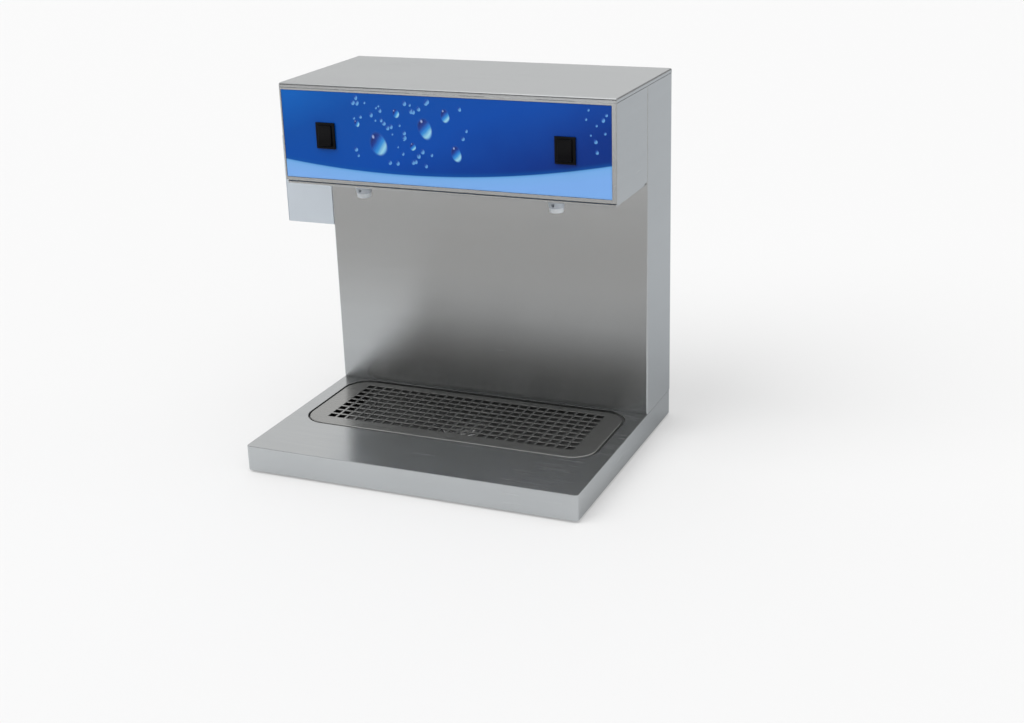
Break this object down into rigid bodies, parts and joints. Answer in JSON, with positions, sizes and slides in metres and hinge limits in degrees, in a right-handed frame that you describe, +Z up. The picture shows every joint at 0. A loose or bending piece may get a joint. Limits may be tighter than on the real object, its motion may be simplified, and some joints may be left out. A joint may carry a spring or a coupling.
{
  "type": "countertop water dispenser",
  "caption": "Stainless countertop water dispenser with a drip basin and lift-out grille, a hollow column, and a head with a printed panel, rocker switches and outlet nozzles.",
  "frame": {"origin": "centre of the bounding box in plan, on the counter surface under the feet", "axes": "+Z up, -Y towards the user at the front, +X to the right as the user sees it"},
  "size_m": [0.489, 0.349, 0.441],
  "materials": {
    "brushed_stainless": "fine brushed stainless sheet, grain along the width",
    "chrome_bright": "bright plated",
    "brass_plain": "machined",
    "rubber_black": "matte",
    "white_plastic": "satin moulded",
    "hose_clear": "milky translucent hose",
    "printed_panel": "gloss panel printed blue with water drops and a pale wave",
    "black_gloss_plastic": "fine satin to gloss moulded",
    "black_matte_plastic": "matte moulded",
    "coil_red": "moulded coil resin",
    "grey_paint": "smooth satin powder coat",
    "transformer_grey": "varnished core and winding"
  },
  "bodies": {
    "housing": {"base_shell": "brushed_stainless", "base_bottom_plate": "brushed_stainless", "drip_basin": "brushed_stainless", "column_shell": "brushed_stainless", "rear_cover": "brushed_stainless", "head_shell": "brushed_stainless", "head_bottom_plate": "brushed_stainless", "top_cover": "brushed_stainless", "valve_bracket": "brushed_stainless", "foot_front_left": "rubber_black", "foot_front_right": "rubber_black", "foot_rear_left": "rubber_black", "foot_rear_right": "rubber_black", "drain_body": "chrome_bright", "rear_cover_screw_1": "chrome_bright", "rear_cover_screw_2": "chrome_bright", "rear_cover_screw_3": "chrome_bright", "rear_cover_screw_4": "chrome_bright", "rear_cover_screw_5": "chrome_bright", "rear_cover_screw_6": "chrome_bright", "side_box_screw_1": "chrome_bright", "side_box_screw_2": "chrome_bright", "side_box_screw_3": "chrome_bright", "side_box_screw_4": "chrome_bright", "drain_nut": "white_plastic", "drain_outlet": "white_plastic", "outlet_nozzle_left": "white_plastic", "outlet_nozzle_right": "white_plastic", "nozzle_nut_left": "white_plastic", "nozzle_nut_right": "white_plastic", "terminal_block": "white_plastic", "drain_hose": "hose_clear", "outlet_hose_left": "hose_clear", "outlet_hose_right": "hose_clear", "supply_hose_left": "hose_clear", "supply_hose_right": "hose_clear", "front_panel": "printed_panel", "switch_body_left": "black_gloss_plastic", "switch_body_right": "black_gloss_plastic", "cable_gland": "black_matte_plastic", "gland_nut": "black_matte_plastic", "wire_loom_left": "black_matte_plastic", "wire_loom_right": "black_matte_plastic", "valve_body_left": "brass_plain", "valve_body_right": "brass_plain", "inlet_fitting_left": "brass_plain", "inlet_fitting_right": "brass_plain", "inlet_nut_left": "brass_plain", "inlet_nut_right": "brass_plain", "valve_coil_left": "coil_red", "valve_coil_right": "coil_red", "side_box": "grey_paint", "side_box_lid": "grey_paint", "transformer": "transformer_grey"},
    "grille": {"drip_grille": "brushed_stainless"},
    "strainer": {"drain_strainer": "chrome_bright"},
    "rocker_left": {"switch_rocker_left": "black_gloss_plastic"},
    "rocker_right": {"switch_rocker_right": "black_gloss_plastic"},
    "plunger_left": {"valve_plunger_left": "chrome_bright"},
    "plunger_right": {"valve_plunger_right": "chrome_bright"}
  },
  "joints": [
    {"name": "grille_lift", "type": "slide", "parent": "housing", "child": "grille", "axis": [0, 0, 1], "range_m": [0, 0.08]},
    {"name": "strainer_lift", "type": "slide", "parent": "housing", "child": "strainer", "axis": [0, 0, 1], "range_m": [0, 0.0055]},
    {"name": "rocker_left_press", "type": "hinge", "parent": "housing", "child": "rocker_left", "pos_m": [-0.1155, -0.0356, 0.3814], "axis": [1, 0, 0], "range_deg": [0, 10], "stiffness_Nm_per_rad": 0.15, "springref_deg": -2.86},
    {"name": "rocker_right_press", "type": "hinge", "parent": "housing", "child": "rocker_right", "pos_m": [0.1845, -0.0356, 0.3814], "axis": [1, 0, 0], "range_deg": [0, 10], "stiffness_Nm_per_rad": 0.15, "springref_deg": -2.86},
    {"name": "plunger_left_lift", "type": "slide", "parent": "housing", "child": "plunger_left", "axis": [0, 0, 1], "range_m": [0, 0.0025], "stiffness_N_per_m": 400, "springref_m": -0.002},
    {"name": "plunger_right_lift", "type": "slide", "parent": "housing", "child": "plunger_right", "axis": [0, 0, 1], "range_m": [0, 0.0025], "stiffness_N_per_m": 400, "springref_m": -0.002}
  ]
}
